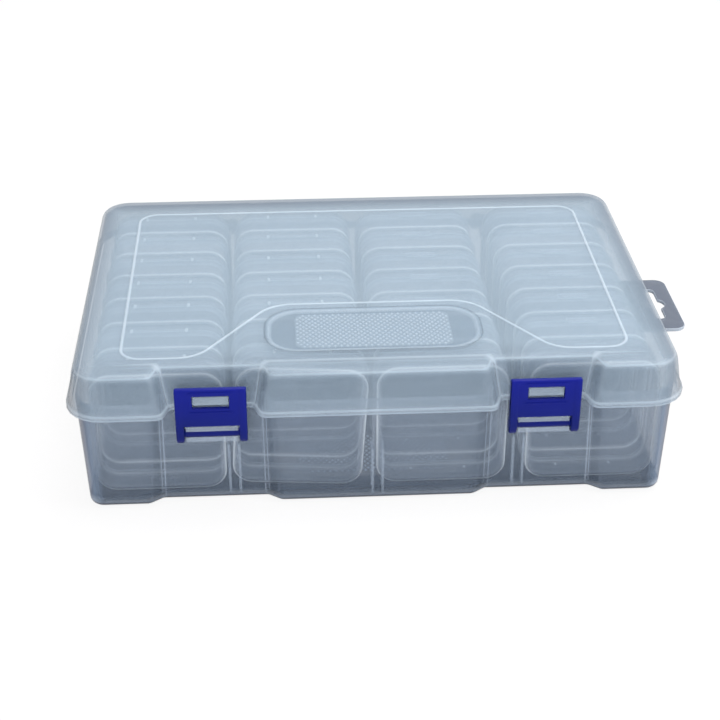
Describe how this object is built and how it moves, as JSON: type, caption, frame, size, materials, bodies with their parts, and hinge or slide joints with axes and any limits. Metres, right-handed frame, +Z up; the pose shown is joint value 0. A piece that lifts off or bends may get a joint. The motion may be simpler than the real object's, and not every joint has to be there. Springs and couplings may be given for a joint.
{
  "type": "thread organiser case",
  "caption": "Shallow milky plastic case with a latched, hinged lid and a hang tab, filled with small clamshell boxes standing on edge.",
  "frame": {"origin": "on the table, under the middle of the case's floor", "axes": "+X to the right along the front, towards the hang tab; +Y to the back; +Z up; the latches face -Y"},
  "size_m": [0.2642, 0.1867, 0.0634],
  "materials": {
    "case_clear": "milky translucent polypropylene, satin",
    "lid_clear": "milky translucent polypropylene, satin",
    "box_clear": "milky translucent polypropylene, satin",
    "latch_blue": "royal blue moulded polypropylene, satin"
  },
  "bodies": {
    "case": {"case_base": "case_clear", "box_c1_r1_body": "box_clear", "box_c1_r1_lid": "box_clear", "box_c1_r2_body": "box_clear", "box_c1_r2_lid": "box_clear", "box_c1_r3_body": "box_clear", "box_c1_r3_lid": "box_clear", "box_c1_r4_body": "box_clear", "box_c1_r4_lid": "box_clear", "box_c1_r5_body": "box_clear", "box_c1_r5_lid": "box_clear", "box_c1_r6_body": "box_clear", "box_c1_r6_lid": "box_clear", "box_c1_r7_body": "box_clear", "box_c1_r7_lid": "box_clear", "box_c2_r1_body": "box_clear", "box_c2_r1_lid": "box_clear", "box_c2_r2_body": "box_clear", "box_c2_r2_lid": "box_clear", "box_c2_r3_body": "box_clear", "box_c2_r3_lid": "box_clear", "box_c2_r4_body": "box_clear", "box_c2_r4_lid": "box_clear", "box_c2_r5_body": "box_clear", "box_c2_r5_lid": "box_clear", "box_c2_r6_body": "box_clear", "box_c2_r6_lid": "box_clear", "box_c2_r7_body": "box_clear", "box_c2_r7_lid": "box_clear", "box_c3_r1_body": "box_clear", "box_c3_r1_lid": "box_clear", "box_c3_r2_body": "box_clear", "box_c3_r2_lid": "box_clear", "box_c3_r3_body": "box_clear", "box_c3_r3_lid": "box_clear", "box_c3_r4_body": "box_clear", "box_c3_r4_lid": "box_clear", "box_c3_r5_body": "box_clear", "box_c3_r5_lid": "box_clear", "box_c3_r6_body": "box_clear", "box_c3_r6_lid": "box_clear", "box_c3_r7_body": "box_clear", "box_c3_r7_lid": "box_clear", "box_c4_r1_body": "box_clear", "box_c4_r1_lid": "box_clear", "box_c4_r2_body": "box_clear", "box_c4_r2_lid": "box_clear", "box_c4_r3_body": "box_clear", "box_c4_r3_lid": "box_clear", "box_c4_r4_body": "box_clear", "box_c4_r4_lid": "box_clear", "box_c4_r5_body": "box_clear", "box_c4_r5_lid": "box_clear", "box_c4_r6_body": "box_clear", "box_c4_r6_lid": "box_clear", "box_c4_r7_body": "box_clear", "box_c4_r7_lid": "box_clear"},
    "lid": {"case_lid": "lid_clear"},
    "left_latch": {"latch_left": "latch_blue"},
    "right_latch": {"latch_right": "latch_blue"}
  },
  "joints": [
    {"name": "lid_hinge", "type": "hinge", "parent": "case", "child": "lid", "pos_m": [0, 0.09358, 0.0438], "axis": [-1, 0, 0], "range_deg": [0, 180]},
    {"name": "latch_left_hinge", "type": "hinge", "parent": "case", "child": "left_latch", "pos_m": [-0.0666, -0.08488, 0.0366], "axis": [1, 0, 0], "range_deg": [0, 170]},
    {"name": "latch_right_hinge", "type": "hinge", "parent": "case", "child": "right_latch", "pos_m": [0.0666, -0.08488, 0.0366], "axis": [1, 0, 0], "range_deg": [0, 170]}
  ]
}
